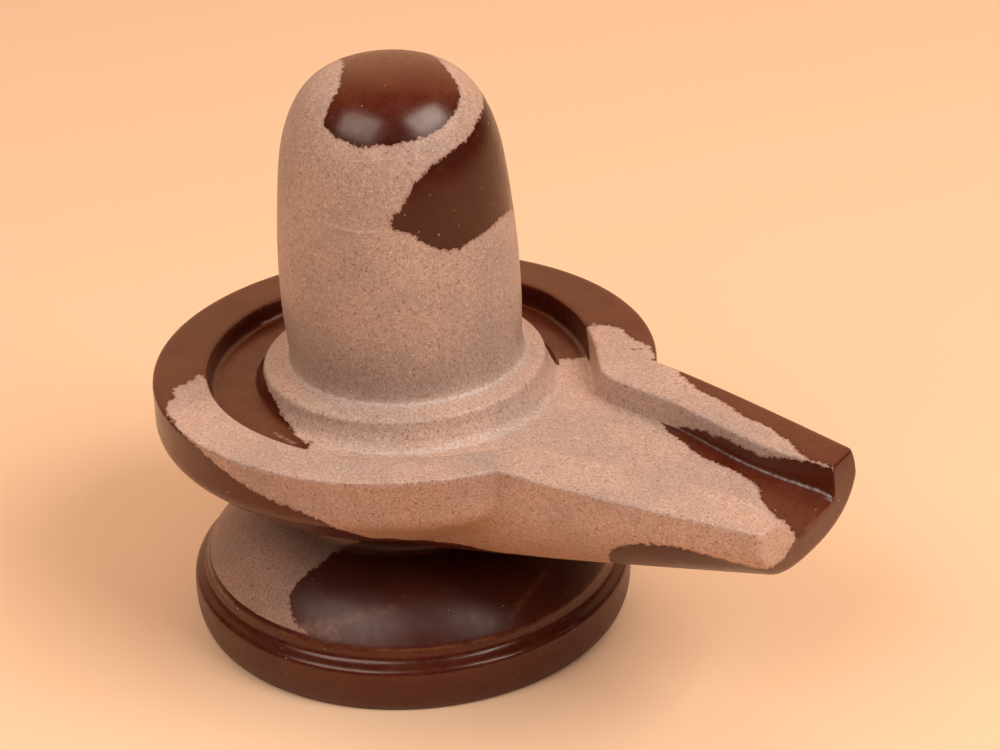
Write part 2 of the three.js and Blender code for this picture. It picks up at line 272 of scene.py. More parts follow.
def plan_points():
    """Where each column crosses the wall's foot, the inner edge, the outer edge and the widest line: on
    the end face for low column numbers, then along the arm, and on circles round the dish."""
    s, front = station, side < 0
    along_arm, round_dish = (s > 3)[:, None], (s > 4)[:, None]
    back = share(s, 4, 5)
    count = len(s)

    def ring(radius, turn, height):
        return np.stack([radius * np.cos(turn), radius * np.sin(turn), np.full(count, height)], 1)

    # the mouth's own outline, up the end face: floor, wall, then out along the rail's end
    floor_corner = groove_foot(np.full(count, END), side)
    edge_corner = rail_edge(np.full(count, END_EDGE), side)
    last_x = np.where(front, END_CORNER["front"], END_CORNER["back"])
    last_half = arm_half(last_x)
    y = floor_corner * share(s, 0, 1) + (edge_corner - floor_corner) * share(s, 1, 2)
    y_end = y + (last_half - y) * share(s, 2, 3)
    low = floor_height(np.full(count, END + 0.1), side * y)
    high = rail_top(last_x) - rail_droop(last_x, side * y_end)
    z = np.where(s > 2, high, low + (high - low) * share(s, 1, 2))
    mouth = np.stack([tip_face(side * y_end, z), y_end, z], 1)

    # the wall's foot
    turn = CORNER_IN + (np.pi - CORNER_IN) * back
    mouth_radius = mouth_ring(turn, side)
    start_x = mouth_ring(CORNER_IN, side) * np.cos(CORNER_IN)
    tip_x = tip_face(side * floor_corner, low)
    near_end = np.where(s < 2, tip_x + (FOOT_AT_2 - tip_x) * share(s, 1, 2),
                        FOOT_AT_2 + (FOOT_AT_3 - FOOT_AT_2) * share(s, 2, 3))
    foot_x = np.where(s < 3, near_end,
                      FOOT_AT_3 + (start_x - WALL_SET_IN - FOOT_AT_3) * share(s, 3, 4))
    foot_y = groove_foot(foot_x, side)
    foot = np.stack([foot_x, foot_y, floor_height(foot_x, side * foot_y)], 1)
    channel = ring(mouth_radius - CHANNEL_SET_IN, turn, 0.0)
    channel[:, 2] = floor_height(channel[:, 0], side * channel[:, 1])
    foot = np.where(round_dish, channel, np.where((s > 1)[:, None], foot, mouth))

    # the inner edge
    tip_x = tip_face(side * edge_corner, high)
    edge_x = np.where(s < 3, tip_x + (EDGE_AT_3 - tip_x) * share(s, 2, 3),
                      EDGE_AT_3 + (start_x - EDGE_AT_3) * share(s, 3, 4))
    edge_y = rail_edge(edge_x, side)
    edge = np.stack([edge_x, edge_y, rail_top(edge_x) - rail_droop(edge_x, side * edge_y)], 1)
    edge = np.where(round_dish, ring(mouth_radius, turn, RIM), np.where((s > 2)[:, None], edge, mouth))

    # the outer edge
    out_x = last_x + (DISH_OUT * np.cos(CORNER_OUT) - last_x) * share(s, 3, 4)
    outer = np.stack([out_x, arm_half(out_x), rail_top(out_x)], 1)
    turn_out = CORNER_OUT + (np.pi - CORNER_OUT) * back
    outer = np.where(round_dish, ring(DISH_OUT, turn_out, RIM), np.where(along_arm, outer, mouth))

    # the widest line under it, where the underside starts
    wide_y = WIDEST_SHARE * (arm_half(out_x) + ARM_SWELL)
    wide = np.stack([out_x, wide_y, arm_belly(out_x, wide_y)], 1)
    end_z = np.minimum(arm_belly(np.full(count, END), y_end), END_UNDER)
    end = np.stack([tip_face(side * y_end, end_z), y_end, end_z], 1)
    wide = np.where(round_dish, ring(WIDEST[0], turn_out, WIDEST[1]), np.where(along_arm, wide, end))

    for points in (foot, edge, outer, wide):
        points[:, 1] *= side
    collar_turn = np.interp(s, range(6), COLLAR_TURNS + [CORNER_IN, np.pi]) * side
    neck_turn = np.interp(s, range(6), NECK_TURNS + [CORNER_OUT, np.pi]) * side
    return foot, edge, outer, wide, collar_turn, neck_turn


def turned(outline, turn, shift):
    """An outline of distance and height carried round the axis to each column's turn, moved sideways by
    shift(height)."""
    r, z = outline[None, :, 0], outline[None, :, 1]
    move = shift(z)
    return np.stack([r * np.cos(turn)[:, None] + move[0], r * np.sin(turn)[:, None] + move[1],
                     z + 0 * turn[:, None]], 2)


def straight(a, b, count):
    """Straight lines from each a to each b."""
    t = np.linspace(0, 1, count)[None, :, None]
    return a[:, None] + (b - a)[:, None] * t


def lean(z):
    """How far the lingam stands off the axis at a height: it rises as the power 0.35 from its foot, and
    is nothing from the collar's step down."""
    t = np.clip((z - LINGAM_FOOT) / (TOP - LINGAM_FOOT), 0, 1) ** 0.35
    held = np.clip((z - COLLAR_STEP) / (LINGAM_FOOT - COLLAR_STEP), 0, 1)
    return [held * (low + (high - low) * t) for low, high in zip(LEAN_LOW, LEAN_HIGH)]


def foot_shift(z):
    """How far the foot stands off the axis at a height: in a straight line down the bell."""
    t = np.clip((BELL[0][1] - z) / (BELL[0][1] - BELL[-1][1]), 0, 1)
    return [away * t for away in FOOT_SHIFT]


def dense_columns():
    """Each column as one long chain of places from the pole to the middle of the underside, its softness,
    and the numbers of the places where one part ends and the next starts."""
    foot, edge, outer, wide, collar_turn, neck_turn = plan_points()
    sides = side[:, None]

    lingam_line = lingam_outline(700)
    lingam = turned(lingam_line, collar_turn, lean)
    collar_line = chain(COLLAR, 260)
    collar = turned(collar_line, collar_turn, lean)
    near_floor = np.clip((66.5 - collar[..., 2]) / 2.1, 0, 1)
    collar[..., 2] -= near_floor * FLOOR_SLOPE * collar[..., 0]

    # floor: straight lines in a frame that is squeezed with the groove's width
    start = collar[:, -1]
    t = np.linspace(0, 1, 80)[None]
    x = start[:, None, 0] + (foot[:, None, 0] - start[:, None, 0]) * t
    across = start[:, None, 1] / groove_foot(start[:, None, 0], sides)
    goal = foot[:, None, 1] / groove_foot(foot[:, None, 0], sides)
    y = np.where((station <= 4)[:, None], (across + (goal - across) * t) * groove_foot(x, sides),
                 start[:, None, 1] + (foot[:, None, 1] - start[:, None, 1]) * t)
    floor = np.stack([x, y, floor_height(x, y)], 2)

    wall = straight(foot, edge, 24)
    rim = straight(edge, outer, 24)
    on_top = rail_top(rim[..., 0]) - rail_droop(rim[..., 0], rim[..., 1])
    rim[..., 2] = np.where((station > 2)[:, None], on_top, rim[..., 2])
    drop = straight(outer, wide, 24)
    on_end = (station < 3)[:, None]
    drop[..., 0] = np.where(on_end, tip_face(drop[..., 1], drop[..., 2]), drop[..., 0])

    # underside: straight lines in plan to the neck, on the height of the underside
    q = np.linspace(0, 1, 700)[None] ** 2.2
    neck = np.stack([NECK * np.cos(neck_turn), NECK * np.sin(neck_turn)], 1)
    x = wide[:, None, 0] + (neck[:, None, 0] - wide[:, None, 0]) * q
    y = wide[:, None, 1] + (neck[:, None, 1] - wide[:, None, 1]) * q
    under = np.stack([x, y, np.minimum(underside(x, y), wide[:, None, 2])], 2)

    neck_foot = turned(np.array([(*BELL[0], 1.2)]), neck_turn, foot_shift)[:, 0]
    neck_wall = straight(under[:, -1], neck_foot, 16)
    bell_line = bell_outline(260)
    bell = turned(bell_line, neck_turn, foot_shift)
    band_line = chain([bell_line[-1]] + FOOT, 240)
    band = turned(band_line, neck_turn, foot_shift)
    middle = np.array([[*FOOT_SHIFT, 0.0]] * len(station))
    base = straight(band[:, -1], middle, 40)

    parts = [lingam, collar, floor, wall, rim, drop, under, neck_wall, bell, band, base]
    soft = [lingam_line[:, 2], collar_line[:, 2], np.linspace(1.2, 1.5, 80), np.linspace(1.5, 1.0, 24),
            np.full(24, 1.0), np.linspace(1.0, 2.4, 24),
            np.interp(q[0], [0, 0.1, 0.9, 1], [2.4, 2.8, 2.6, 1.2]),
            np.full(16, 1.2), bell_line[:, 2], band_line[:, 2], np.full(40, 0.8)]
    marks = np.cumsum([0] + [part.shape[1] for part in parts])
    return np.concatenate(parts, 1), np.concatenate(soft), marks


# Rows of the mesh in each part of a column, from the lingam to the base, each part's first row, and
# how strongly the rows of a part gather at its two ends.
ROWS = {"lingam": 54, "collar": 34, "floor": 34, "wall": 15, "rim": 11, "drop": 16, "under": 40,
        "neck": 4, "bell": 20, "band": 22, "base": 6}
FIRST = dict(zip(ROWS, np.cumsum([0] + list(ROWS.values())).tolist()))
GATHER = {"floor": 0.5, "wall": 0.75, "rim": 0.75, "drop": 0.6}


def running(values, run, at):
    """Values read along each column's run at the places at; all columns in one step."""
    gap = run.max() + 100
    shift = np.arange(len(run))[:, None] * gap
    flat = (run + shift).ravel()
    want = (at + shift).ravel()
    return np.stack([np.interp(want, flat, values[..., k].ravel()).reshape(at.shape)
                     for k in range(values.shape[-1])], -1)


def averaged(places, run, at, reach):
    """The mean of the places from at - reach to at + reach: it turns a sharp corner into a round one."""
    step = np.diff(run, axis=1)[..., None]
    summed = np.concatenate([np.zeros_like(places[:, :1]),
                             np.cumsum((places[:, 1:] + places[:, :-1]) / 2 * step, 1)], 1)
    lo, hi = at - reach, at + reach
    return (running(summed, run, hi) - running(summed, run, lo)) / (hi - lo)[..., None]


def lengths(places, least=0.0):
    """How far it is along each line of places from its start, where no step counts less than the least."""
    step = np.maximum(np.linalg.norm(np.diff(places, axis=1), axis=2), least)
    return np.concatenate([np.zeros((len(places), 1)), np.cumsum(step, 1)], 1)


def stone_grid():
    """The rounded grid of places: columns first, then rows."""
    places, soft, marks = dense_columns()
    run = lengths(places)
    at = []
    for k, (part, count) in enumerate(ROWS.items()):
        start, stop = run[:, marks[k]], run[:, marks[k + 1] - 1]
        w = np.arange(count) / count
        w = w - GATHER.get(part, 0) * np.sin(2 * np.pi * w) / (2 * np.pi)
        if part == "under":  # rows lie closer together near the rim
            w = 0.45 * w + 0.55 * w * w
        at.append(start[:, None] + (stop - start)[:, None] * w[None])
    at = np.concatenate(at + [run[:, -1:]], 1)
    reach = running(np.broadcast_to(soft[None, :, None], places.shape[:2] + (1,)), run, at)[..., 0]
    reach = np.maximum(np.minimum(reach, np.minimum(at, run[:, -1:] - at)), 1e-4)
    low, high = np.maximum(at - reach, 0), np.minimum(at + reach, run[:, -1:])
    centre, half = (low + high) / 2, np.maximum((high - low) / 2, 1e-5)
    grid = averaged(places, run, centre, half)
    grid[:, 0], grid[:, -1] = places[:, 0], places[:, -1]
    return grid


# How far corners are rounded along the rows, in mm at each column number: inside the groove's edge,
# and outside it.
ROUND_INSIDE = ([0, 0.7, 1, 1.4, 1.8, 2, 2.4, 5], [0.3, 1.0, 1.6, 1.2, 0.9, 0.9, 0.5, 0.3])
ROUND_OUTSIDE = ([0, 0.7, 1, 1.4, 1.8, 2, 2.4, 2.8, 3, 3.1, 3.9, 4, 4.05, 5],
                 [0.3, 1.0, 1.6, 1.2, 0.9, 0.9, 0.5, 1.0, 1.3, 0.9, 0.5, 0.6, 0.3, 0.3])


def smooth_round(grid):
    """The same mean taken round the stone, along each row, for the upright corners of the arm. It fades
    in over the first 12 rows of the floor and out over the last 14 of the underside."""
    first, last = FIRST["floor"], FIRST["neck"]
    rows = np.swapaxes(grid[:, first:last], 0, 1)
    count, n = rows.shape[:2]
    beyond = 40  # columns repeated at each end, so that the loop has no seam
    loop = np.concatenate([rows[:, -beyond:], rows, rows[:, :beyond + 1]], 1)
    run = lengths(loop, 1e-6)
    inside = np.interp(station, *ROUND_INSIDE)
    outside = np.interp(station, *ROUND_OUTSIDE)
    middle_of_rim = FIRST["rim"] - first + ROWS["rim"] // 2
    outward = np.clip((np.arange(count) - middle_of_rim) / 4, 0, 1)[:, None]
    reach = inside + (outside - inside) * outward
    ease = np.interp(np.arange(count), [0, 12, count - 14, count - 1], [0.02, 1, 1, 0.02])
    at = run[:, beyond:beyond + n]
    grid = grid.copy()
    grid[:, first:last] = np.swapaxes(averaged(loop, run, at, reach * ease[:, None]), 0, 1)
    return grid


def stone_mesh(grid):
    """Quads between the rows and columns, and a fan of triangles round the pole and the base's middle."""
    n, m = grid.shape[:2]
    inner = grid[:, 1:-1]
    verts = np.concatenate([grid[:1, 0], inner.reshape(-1, 3), grid[:1, -1]]) * MM
    number = 1 + np.arange(n * (m - 2)).reshape(n, m - 2)
    following = np.roll(number, -1, axis=0)
    quads = np.stack([number[:, :-1], number[:, 1:], following[:, 1:], following[:, :-1]], -1)
    top = np.stack([np.zeros(n, int), number[:, 0], following[:, 0]], -1)
    bottom = np.stack([np.full(n, len(verts) - 1), following[:, -1], number[:, -1]], -1)
    mesh = bpy.data.meshes.new("carved_stone")
    mesh.from_pydata(verts.tolist(), [], quads.reshape(-1, 4).tolist() + top.tolist() + bottom.tolist())
    mesh.validate()
    mesh.shade_smooth()
    return mesh


grid = smooth_round(stone_grid())
stone = bpy.data.objects.new("carved_stone", stone_mesh(grid))
bpy.context.scene.collection.objects.link(stone)

# Its markings: bands of dark, iron-rich stone that the carver laid bare in the tan. Closed outlines
# run round the dark, or round the tan for BELL_TAN: CAP by turn in degrees and distance from the pole,
# CHEEK and BELL_TAN by turn and height, the others as seen from above. Pairs of lists give the height
# that the dark reaches: by turn on round parts, by place along the arm and groove, across END_FACE.
CAP = [(-161, 10.8), (-122, 11.1), (-98, 15.9), (-95.7, 19.5), (-94.5, 22.5), (-93, 25.2), (-81.6, 27.9),
       (-66.7, 29.5), (-52.5, 29.1), (-40.5, 28.7), (-26.8, 27.9), (-13, 26.3), (3.2, 23.5), (16.2, 20.4),
       (29.8, 16.1), (59.6, 13.9), (86, 15.5), (100, 24), (112, 42), (128, 58), (150, 60), (166, 44),
       (172, 22)]
CHEEK = [(53, 140), (27, 139), (10.4, 137.8), (0, 136), (-13.8, 134.7), (-26.2, 132.7), (-37.1, 129.3),
         (-42.3, 126.3), (-47.3, 122.6), (-52.2, 119.5), (-40.4, 116.2), (-30.2, 112.3), (-21.8, 111.1),
         (-6.9, 112.2), (6.5, 113.3), (20, 113), (33, 111.3), (52, 106), (75, 104), (100, 108), (108, 118),
         (98, 128), (76, 136)]
COLLAR_DARK = ([-180, -158, -127.7, -113, -103, -94.6, -86, -60, 30, 40, 45, 54, 70, 180],
               [69.8, 69.6, 69.3, 68.1, 66.1, 64.5, 61, 50, 50, 62, 65, 68, 69.8, 69.8])
CHANNEL_DARK = [(24, 26), (27.6, 30.5), (30.5, 32.8), (32.3, 34.8), (38, 41), (0, 90), (-90, 60),
                (-90, -60), (9, -60), (6.5, -46), (3, -41.6), (-3.1, -39.6), (-6, -30)]
GROOVE_DARK = [(72, 20), (72.8, 14), (77.4, 12.4), (85.8, 8.8), (95, 8), (101.4, 6), (104.6, 4.5),
               (106.9, 1), (113.3, -2.6), (116.4, -3.3), (121.2, -6.4), (130, -10), (130, 20)]
CHANNEL_WALL = ([-180, -139, -132.6, -110, -86, -80, 40, 44, 49, 53.6, 58, 180],
                [76, 72, 69.9, 67.5, 64, 60, 60, 64.5, 67.2, 69.9, 74, 76])
GROOVE_WALL = ([66, 72.8, 74.8, 81.8, 88.4, 95.1, 100.1, 106.8, 112.9, 119, 123],
               [60, 63.4, 64.7, 66.2, 66.7, 67.2, 66.3, 68.2, 69.1, 68.9, 68.8])
RIM_DARK = [(28, 37), (29.6, 40.2), (30.3, 42.3), (32.3, 43.2), (35.1, 43.6), (38.5, 43.1), (43.3, 40.7),
            (47.4, 39.9), (50.3, 38.7), (52.8, 36.8), (54.3, 34.9), (55.9, 33.4), (64, 45), (0, 90),
            (-90, 60), (-90, -70), (-28, -62), (-29.5, -57.2), (-33.2, -53.5), (-34.1, -49.7),
            (-37.8, -46.4), (-36.7, -41.7), (-38.1, -37.4), (-34.8, -37.8), (-30, -34)]
RAIL_DARK = [(61, 34), (64.5, 31.2), (67.8, 29.1), (74.6, 26.1), (81.5, 24.6), (89.4, 21.5), (95.6, 20.7),
             (101.4, 18.5), (106.4, 16.2), (110.3, 13.6), (112.8, 12.9), (119, 12.6), (130, 12), (130, 40),
             (61, 40)]
DISH_SIDE = ([-180, -125, -117.3, -109.5, -100.6, -96.8, -93.7, -87.5, -80.6, -73.7, -68.5, -63.5, -59.5,
              -55.2, -50, -43.7, -37.6, -31, -20, 30.9, 31.5, 180],
             [80, 73, 70.2, 69.9, 69.1, 67.7, 66.6, 64.5, 62.3, 61, 59.1, 54.8, 49.5,
              50.2, 46.6, 44.0, 44.4, 43.0, 42, 70, 80, 80])
ARM_FRONT = ([28, 48, 60, 75, 79, 80.8, 81.6, 82.6, 84.2, 87.4, 92, 98, 102.8, 108.7, 114.7, 119, 123],
             [38.5, 42.6, 42.4, 43.4, 44.8, 47, 49.5, 52.4, 54.9, 57.7, 59.7, 61.1, 61.3, 61, 60.3, 59.7,
              59.4])
ARM_BACK = ([28, 53, 56, 59, 62, 65, 68, 124], [80, 72, 65.5, 63.5, 65.5, 71, 80, 80])
END_FACE = ([-24, -18.4, -12.9, -11.1, -8.5, -7.2, -6.6, -5, 24],
            [59.5, 59.1, 58.4, 59.3, 60.1, 61.2, 64, 80, 80])
END_DARK_FROM = -7  # on the end of the groove the dark starts this far to the front of the middle
BELL_TAN = [(-76, 33), (-80, 31.2), (-82.5, 30.3), (-85.5, 29.7), (-85.8, 28.7), (-89.1, 26.7),
            (-90.2, 24.3), (-89, 22.3), (-86, 20.1), (-82.3, 18.3), (-78, 17.2), (-82, 16.8), (-110, 16.6),
            (-180, 16.6), (-214, 17.5), (-222, 22), (-214, 27), (-190, 31), (-150, 34), (-100, 34)]
LINGAM_DEGREE, BELL_DEGREE = np.radians(29), np.radians(50)  # mm round them for each degree
ALL_DARK, ALL_TAN = 12.0, -6.0


def smooth_loop(points, steps=6):
    """A closed Catmull-Rom curve through the points, as straight pieces."""
    p = np.array(points, float)
    before, after, beyond = np.roll(p, 1, 0), np.roll(p, -1, 0), np.roll(p, -2, 0)
    t = (np.arange(steps) / steps)[None, :, None]
    p, before, after, beyond = (q[:, None] for q in (p, before, after, beyond))
    curve = (2 * p + (after - before) * t + (2 * before - 5 * p + 4 * after - beyond) * t ** 2
             + (3 * p - before - 3 * after + beyond) * t ** 3) / 2
    return curve.reshape(-1, 2)


def depth_inside(u, v, outline):
    """Distance from places (u, v) to a closed outline: positive inside it by the even-odd rule, and
    negative outside."""
    nearest = np.full(u.shape, 1e9)
    inside = np.zeros(u.shape, bool)
    for (u0, v0), (u1, v1) in zip(outline, np.roll(outline, -1, 0)):
        du, dv = u1 - u0, v1 - v0
        t = np.clip(((u - u0) * du + (v - v0) * dv) / max(du * du + dv * dv, 1e-9), 0, 1)
        nearest = np.minimum(nearest, np.hypot(u - u0 - t * du, v - v0 - t * dv))
        if dv != 0:
            inside ^= ((v0 > v) != (v1 > v)) & (u < u0 + (v - v0) * du / dv)
    return np.where(inside, nearest, -nearest)


def below(at, height, line):
    """How far a place lies below a line of heights, positive below it."""
    return np.interp(at, *line) - height


def rows(start, stop=None):
    """Which rows lie from the first of one part to before the first of another, or to the end."""
    row = np.arange(grid.shape[1])[None]
    return (row >= FIRST[start]) & (row < FIRST.get(stop, grid.shape[1]))


def marking(grid):
    """Depth inside the dark stone in mm at each place of the grid, part by part down the columns."""
    x, y, z = grid[..., 0], grid[..., 1], grid[..., 2]
    turn = np.arctan2(y, x)
    degrees = np.degrees(turn)
    run = lengths(grid)
    on_end = (station < 1)[:, None]
    round_dish = (station > 4)[:, None]
    front = (side < 0)[:, None]
    dark = np.full(x.shape, ALL_DARK)

    # lingam: the cap is unrolled round the pole, the cheek is unrolled round the side
    cap_edge = smooth_loop([(r * np.cos(np.radians(a)), r * np.sin(np.radians(a))) for a, r in CAP])
    cap = depth_inside(run * np.cos(turn), run * np.sin(turn), cap_edge)
    cheek_edge = smooth_loop([(a * LINGAM_DEGREE, h) for a, h in CHEEK])
    cheek = depth_inside(degrees * LINGAM_DEGREE, z, cheek_edge)
    dark = np.where(rows("lingam", "collar"), np.maximum(cap, cheek), dark)
    dark = np.where(rows("collar", "floor"), below(degrees, z, COLLAR_DARK), dark)

    # channel and groove
    floor = np.maximum(depth_inside(x, y, np.array(CHANNEL_DARK, float)),
                       depth_inside(x, y, smooth_loop(GROOVE_DARK)))
    dark = np.where(rows("floor", "wall"), floor, dark)
    groove_wall = np.where(front, ALL_TAN, below(x, z, GROOVE_WALL))
    wall = np.where(round_dish, below(degrees, z, CHANNEL_WALL), groove_wall)
    dark = np.where(rows("wall", "rim"), np.where(on_end, y - END_DARK_FROM, wall), dark)

    # rim and rails, then the outside down to the neck
    rim = np.where(round_dish, depth_inside(x, y, smooth_loop(RIM_DARK)),
                   depth_inside(x, y, smooth_loop(RAIL_DARK)))
    dark = np.where(rows("rim", "drop"), np.where(on_end, y - END_DARK_FROM, rim), dark)
    arm = np.where(front, below(x, z, ARM_FRONT), below(x, z, ARM_BACK))
    arm = np.where((station < 3)[:, None], below(y, z, END_FACE), arm)
    outside = np.where(round_dish, below(degrees, z, DISH_SIDE), arm)
    dark = np.where(rows("drop", "neck"), outside, dark)

    # bell, with turns from -230 to 130 degrees so that the tan's outline is whole
    around = np.where(degrees > 130, degrees - 360, degrees)
    bell_edge = smooth_loop([(a * BELL_DEGREE, h) for a, h in BELL_TAN])
    return np.where(rows("neck", "band"), -depth_inside(around * BELL_DEGREE, z, bell_edge), dark)


# White polishing dust in the corners: how much lies at each turn in degrees round the lingam's foot,
# at a height, and round the collar's foot, at a distance; and at each place along the back rail's foot.
LINGAM_FOOT_DUST = ([-180, -110, -60, -20, 40, 180], [0.2, 0.45, 0.35, 0.55, 0.3, 0.1])
COLLAR_FOOT_DUST = ([-180, -95, -75, -60, -40, -15, 20, 60, 180],
                    [0, 0, 0.15, 0.4, 0.5, 0.3, 0.1, 0, 0])
RAIL_FOOT_DUST = ([60, 75, 90, 100, 118, 122], [0, 0.3, 0.6, 0.9, 1, 0.6])
DUST_HEIGHT, DUST_DISTANCE = 72.3, 40.2


def dust(grid):
    """Polishing dust, 0 to 1: a bell curve of the distance to each corner line, in mm, or in rows at the
    back rail's foot."""
    x, y, z = grid[..., 0], grid[..., 1], grid[..., 2]
    degrees = np.degrees(np.arctan2(y, x))
    row = np.arange(grid.shape[1])[None]

    def line(distance, width, amount):
        return amount * np.exp(-(distance / width) ** 2)

    def near(part, above, under):
        return (row > FIRST[part] - above) & (row < FIRST[part] + under)

    lingam_foot = line(z - DUST_HEIGHT, 0.4, np.interp(degrees, *LINGAM_FOOT_DUST))
    lingam_foot = np.where(near("collar", 12, 12), lingam_foot, 0)
    collar_foot = line(np.hypot(x, y) - DUST_DISTANCE, 0.9, np.interp(degrees, *COLLAR_FOOT_DUST))
    collar_foot = np.where(near("floor", 8, 10), collar_foot, 0)
    back_rail = ((side > 0) & (station > 0.9) & (station < 4))[:, None]
    rail_foot = line(row - FIRST["wall"] - 1.0, 1.5, np.interp(x, *RAIL_FOOT_DUST))
    return np.maximum.reduce([lingam_foot, collar_foot, np.where(back_rail, rail_foot, 0)])


# How close each part's dark stone comes to black, 0 to 1, and the same for the cheek: partly the
# stone's own depth of colour, partly painted shade under the dish, on the neck and bell, and on the cheek.
NEAR_BLACK = {"lingam": 0.0, "collar": 0.3, "floor": 0.1, "wall": 0.2, "rim": 0.0, "drop": 0.35,
              "under": 0.55, "neck": 0.9, "bell": 0.65, "band": 0.35, "base": 0.5}
CHEEK_NEAR_BLACK = 0.7


def dark_depth_and_painted_shade(grid):
    """How close the dark stone comes to black: part by part, and on the cheek from the shoulder down;
    partly its own depth of colour and partly painted shade under the dish and on the cheek.
    """
    z = grid[..., 2]
    amount = np.repeat(list(NEAR_BLACK.values()), list(ROWS.values()))
    amount = np.append(amount, NEAR_BLACK["base"])[None]
    cheek = CHEEK_NEAR_BLACK * np.clip((146 - z) / 6, 0, 1) * rows("lingam", "collar")
    return np.maximum(amount, cheek)


def painted_shade_under_dish(grid):
    """Painted shade on the tan, 0 to 1, darker where shade falls under the dish and down the arm: on the
    dish's wall 0.9 beside the arm and 0.45 further round, down the arm's side from 0.15 to 0.6, and 0.85
    on the neck and foot. The arm gives way to the dish from column 3.85 to 4.2."""
    z = grid[..., 2]
    dish = np.interp(station, [4.1, 4.24], [0.9, 0.45])[:, None]
    arm = 0.15 + 0.45 * np.clip((62 - z) / 14, 0, 1)
    on_dish = np.clip((station - 3.85) / 0.35, 0, 1)[:, None]
    return np.select([rows("drop", "neck"), rows("neck")], [arm + (dish - arm) * on_dish, 0.85], 0.0)


def greyer(grid):
    """Where the tan runs a little greyer, 0 to 1: on the lingam, coming on below its shoulder."""
    return np.where(rows("lingam", "collar"), np.clip((140 - grid[..., 2]) / 12, 0, 1), 0.0)


def matt(grid):
    """How much less the polish took, 0 to 1: fully on the neck and bell, and coming on down the
    underside and down the upright face of the band."""
    z = grid[..., 2]
    return np.select([rows("neck", "band"), rows("under", "neck"), rows("band")],
                     [1.0, np.clip((58 - z) / 10, 0, 1), np.clip((11 - z) / 3, 0, 1)], 0.0)


# The stone's look reads them from the mesh, whose points run from the pole down the rows to the
# middle of the base.
for name, amounts in (("dark", marking), ("shaded", painted_shade_under_dish), ("greyer", greyer), ("matt", matt),
                      ("dark_depth_and_shade", dark_depth_and_painted_shade), ("dust", dust)):
    values = amounts(grid)
    in_order = np.concatenate([values[:1, 0], values[:, 1:-1].reshape(-1), values[:1, -1]])
    attribute = stone.data.attributes.new(name, "FLOAT", "POINT")
    attribute.data.foreach_set("value", in_order.astype(np.float32))

# The look of the stone: fine-grained tan with rust and pale grains, and maroon dark bands with a
# toothed edge. All of it is polished, the dark bands to a closer shine than the grainy tan.
stone_look = bpy.data.materials.new("two_tone_stone")
stone_look.use_nodes = True
tree = stone_look.node_tree
shader = tree.nodes["Principled BSDF"]
coordinates = tree.nodes.new("ShaderNodeTexCoord").outputs["Object"]


def plug(value, socket):
    """Lead another node's output into a socket, or set the socket to a number or colour."""
    if isinstance(value, bpy.types.NodeSocket):
        tree.links.new(value, socket)
    else:
        socket.default_value = value


def grains(size, detail=2.0, rough=0.5):
    """Noise whose lumps are about size mm across, around 0.5."""
    node = tree.nodes.new("ShaderNodeTexNoise")
    node.inputs["Scale"].default_value = 1000 / size
    node.inputs["Detail"].default_value = detail
    node.inputs["Roughness"].default_value = rough
    tree.links.new(coordinates, node.inputs["Vector"])
    return node.outputs["Fac"]


def crystals(size):
    """A random value for each crystal about size mm across."""
    node = tree.nodes.new("ShaderNodeTexVoronoi")
    node.inputs["Scale"].default_value = 1000 / size
    tree.links.new(coordinates, node.inputs["Vector"])
    apart = tree.nodes.new("ShaderNodeSeparateColor")
    tree.links.new(node.outputs["Color"], apart.inputs[0])
    return apart.outputs[0]


def reckon(operation, a, b=0.0, c=0.0):
    """Arithmetic on up to three values."""
    node = tree.nodes.new("ShaderNodeMath")
    node.operation = operation
    for value, socket in zip((a, b, c), node.inputs):
        plug(value, socket)
    return node.outputs[0]


def ramp(value, low, high, out_low=0.0, out_high=1.0):
    """A smooth step of the value from low to high."""
    node = tree.nodes.new("ShaderNodeMapRange")
    node.interpolation_type = "SMOOTHSTEP"
    for given, socket in zip((value, low, high, out_low, out_high), node.inputs):
        plug(given, socket)
    return node.outputs[0]


def blend(amount, a, b, kind="MIX"):
    """Colour a with that amount of colour b laid over it."""
    node = tree.nodes.new("ShaderNodeMix")
    node.data_type = "RGBA"
    node.blend_type = kind
    for given, socket in zip((amount, a, b), (node.inputs[0], node.inputs[6], node.inputs[7])):
        plug(given, socket)
    return node.outputs[2]


def between(operation, a, b=(0, 0, 0)):
    """Vector arithmetic: SCALE takes a number second, the others a vector."""
    node = tree.nodes.new("ShaderNodeVectorMath")
    node.operation = operation
    plug(a, node.inputs[0])
    plug(b, node.inputs[3 if operation == "SCALE" else 1])
    return node.outputs["Value" if operation in ("LENGTH", "DOT_PRODUCT") else "Vector"]


place_in_mm = between("SCALE", coordinates, 1000)


def beside(points):
    """Distance in mm from the nearest of the straight lines that join the points."""
    nearest = 1000.0
    for a, b in zip(points, points[1:]):
        a, b = Vector(a), Vector(b)
        way = (b - a).normalized()
        off = between("SUBTRACT", place_in_mm, a)
        along = reckon("MINIMUM", reckon("MAXIMUM", between("DOT_PRODUCT", off, way), 0.0), (b - a).length)
        gap = between("LENGTH", between("SUBTRACT", off, between("SCALE", way, along)))
        nearest = reckon("MINIMUM", nearest, gap)
    return nearest


def beside_ring(radius, height):
    """Distance in mm from a level circle round the axis of the foot."""
    apart = tree.nodes.new("ShaderNodeSeparateXYZ")
    tree.links.new(between("SUBTRACT", place_in_mm, (*FOOT_SHIFT, height)), apart.inputs[0])
    x, y, z = apart.outputs
    out = reckon("SQRT", reckon("MULTIPLY_ADD", x, x, reckon("MULTIPLY", y, y)))
    out = reckon("SUBTRACT", out, radius)
    return reckon("SQRT", reckon("MULTIPLY_ADD", out, out, reckon("MULTIPLY", z, z)))


